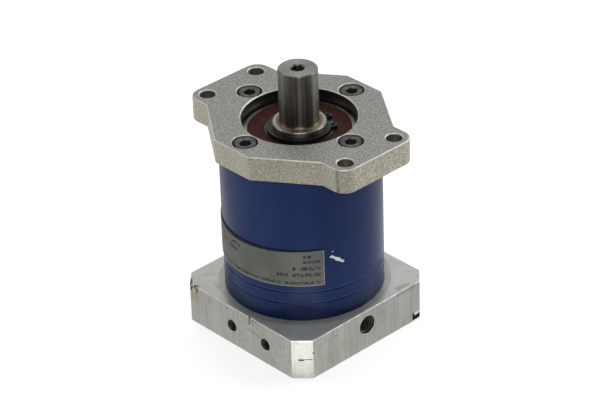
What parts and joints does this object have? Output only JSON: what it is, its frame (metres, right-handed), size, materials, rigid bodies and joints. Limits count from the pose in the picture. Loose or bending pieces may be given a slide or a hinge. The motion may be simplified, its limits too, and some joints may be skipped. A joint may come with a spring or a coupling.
{
  "type": "inline gear reducer",
  "caption": "Inline planetary gear reducer: plain output shaft, two-eared mounting flange, round barrel and square motor plate with a clamping hub for the motor shaft.",
  "frame": {"origin": "centre of the motor plate's lower face, which bolts to the motor", "axes": "+Z along the shafts towards the output end; X through the two ears of the mounting flange"},
  "size_m": [0.125, 0.1, 0.1587],
  "materials": {
    "blue_paint": "semi-gloss dark blue enamel",
    "plate_aluminium": "milled, bare",
    "blasted_metal": "bead-blasted, matt",
    "black_oxide": "black oxide",
    "shaft_steel": "ground",
    "gear_steel": "ground, oiled",
    "bearing_steel": "polished",
    "cage_polyamide": "moulded",
    "seal_rubber": "matt brown-red",
    "black_rubber": "matt",
    "label_foil": "satin foil with dark print blocks"
  },
  "bodies": {
    "housing": {"motor_plate": "plate_aluminium", "plate_screws": "black_oxide", "input_housing": "blue_paint", "input_o_ring": "black_rubber", "input_bearing_circlip": "black_oxide", "input_seal": "black_rubber", "ring_gear": "blue_paint", "ring_o_ring": "black_rubber", "gear_housing": "blue_paint", "housing_screws": "black_oxide", "mounting_flange": "blasted_metal", "flange_screws": "black_oxide", "name_plate": "label_foil", "input_bearing_outer_ring": "bearing_steel", "rear_bearing_outer_ring": "bearing_steel", "front_bearing_outer_ring": "bearing_steel", "front_bearing_seal": "seal_rubber", "front_bearing_back_seal": "seal_rubber"},
    "output": {"output_shaft": "shaft_steel", "carrier_plate": "gear_steel", "carrier_screws": "black_oxide", "planet_pin_1": "bearing_steel", "planet_pin_2": "bearing_steel", "planet_pin_3": "bearing_steel", "planet_washers": "gear_steel", "bearing_spacer": "gear_steel", "rear_bearing_inner_ring": "bearing_steel", "front_bearing_inner_ring": "bearing_steel", "shaft_circlip": "black_oxide"},
    "input": {"input_shaft": "gear_steel", "input_shaft_circlip": "black_oxide", "clamp_ring": "gear_steel", "clamp_screw": "black_oxide", "input_bearing_inner_ring": "bearing_steel"},
    "planet_1": {"planet_gear_1": "gear_steel"},
    "planet_2": {"planet_gear_2": "gear_steel"},
    "planet_3": {"planet_gear_3": "gear_steel"},
    "rollers_1": {"planet_rollers_1": "bearing_steel"},
    "rollers_2": {"planet_rollers_2": "bearing_steel"},
    "rollers_3": {"planet_rollers_3": "bearing_steel"},
    "input_ball_set": {"input_bearing_balls": "bearing_steel", "input_bearing_cage": "cage_polyamide"},
    "rear_ball_set": {"rear_bearing_balls": "bearing_steel", "rear_bearing_cage": "cage_polyamide"},
    "front_ball_set": {"front_bearing_balls": "bearing_steel", "front_bearing_cage": "cage_polyamide"}
  },
  "joints": [
    {"name": "output_spin", "type": "hinge", "parent": "housing", "child": "output", "pos_m": [0, 0, 0.1], "axis": [0, 0, 1], "continuous": true},
    {"name": "input_spin", "type": "hinge", "parent": "housing", "child": "input", "pos_m": [0, 0, 0.03], "axis": [0, 0, 1], "continuous": true},
    {"name": "planet_1_spin", "type": "hinge", "parent": "output", "child": "planet_1", "pos_m": [0.021, 0, 0.0645], "axis": [0, 0, 1], "continuous": true},
    {"name": "planet_2_spin", "type": "hinge", "parent": "output", "child": "planet_2", "pos_m": [-0.0105, 0.01819, 0.0645], "axis": [0, 0, 1], "continuous": true},
    {"name": "planet_3_spin", "type": "hinge", "parent": "output", "child": "planet_3", "pos_m": [-0.0105, -0.01819, 0.0645], "axis": [0, 0, 1], "continuous": true},
    {"name": "rollers_1_spin", "type": "hinge", "parent": "output", "child": "rollers_1", "pos_m": [0.021, 0, 0.0645], "axis": [0, 0, 1], "continuous": true},
    {"name": "rollers_2_spin", "type": "hinge", "parent": "output", "child": "rollers_2", "pos_m": [-0.0105, 0.01819, 0.0645], "axis": [0, 0, 1], "continuous": true},
    {"name": "rollers_3_spin", "type": "hinge", "parent": "output", "child": "rollers_3", "pos_m": [-0.0105, -0.01819, 0.0645], "axis": [0, 0, 1], "continuous": true},
    {"name": "input_balls_spin", "type": "hinge", "parent": "housing", "child": "input_ball_set", "pos_m": [0, 0, 0.038], "axis": [0, 0, 1], "continuous": true},
    {"name": "rear_balls_spin", "type": "hinge", "parent": "housing", "child": "rear_ball_set", "pos_m": [0, 0, 0.093], "axis": [0, 0, 1], "continuous": true},
    {"name": "front_balls_spin", "type": "hinge", "parent": "housing", "child": "front_ball_set", "pos_m": [0, 0, 0.114], "axis": [0, 0, 1], "continuous": true}
  ],
  "couplings": [
    {"joint": "input_spin", "follows": "output_spin", "ratio": 4},
    {"joint": "planet_1_spin", "follows": "output_spin", "ratio": -3},
    {"joint": "planet_2_spin", "follows": "output_spin", "ratio": -3},
    {"joint": "planet_3_spin", "follows": "output_spin", "ratio": -3},
    {"joint": "rollers_1_spin", "follows": "output_spin", "ratio": -1.75},
    {"joint": "rollers_2_spin", "follows": "output_spin", "ratio": -1.75},
    {"joint": "rollers_3_spin", "follows": "output_spin", "ratio": -1.75},
    {"joint": "input_balls_spin", "follows": "output_spin", "ratio": 1.7333},
    {"joint": "rear_balls_spin", "follows": "output_spin", "ratio": 0.39647},
    {"joint": "front_balls_spin", "follows": "output_spin", "ratio": 0.39647}
  ]
}
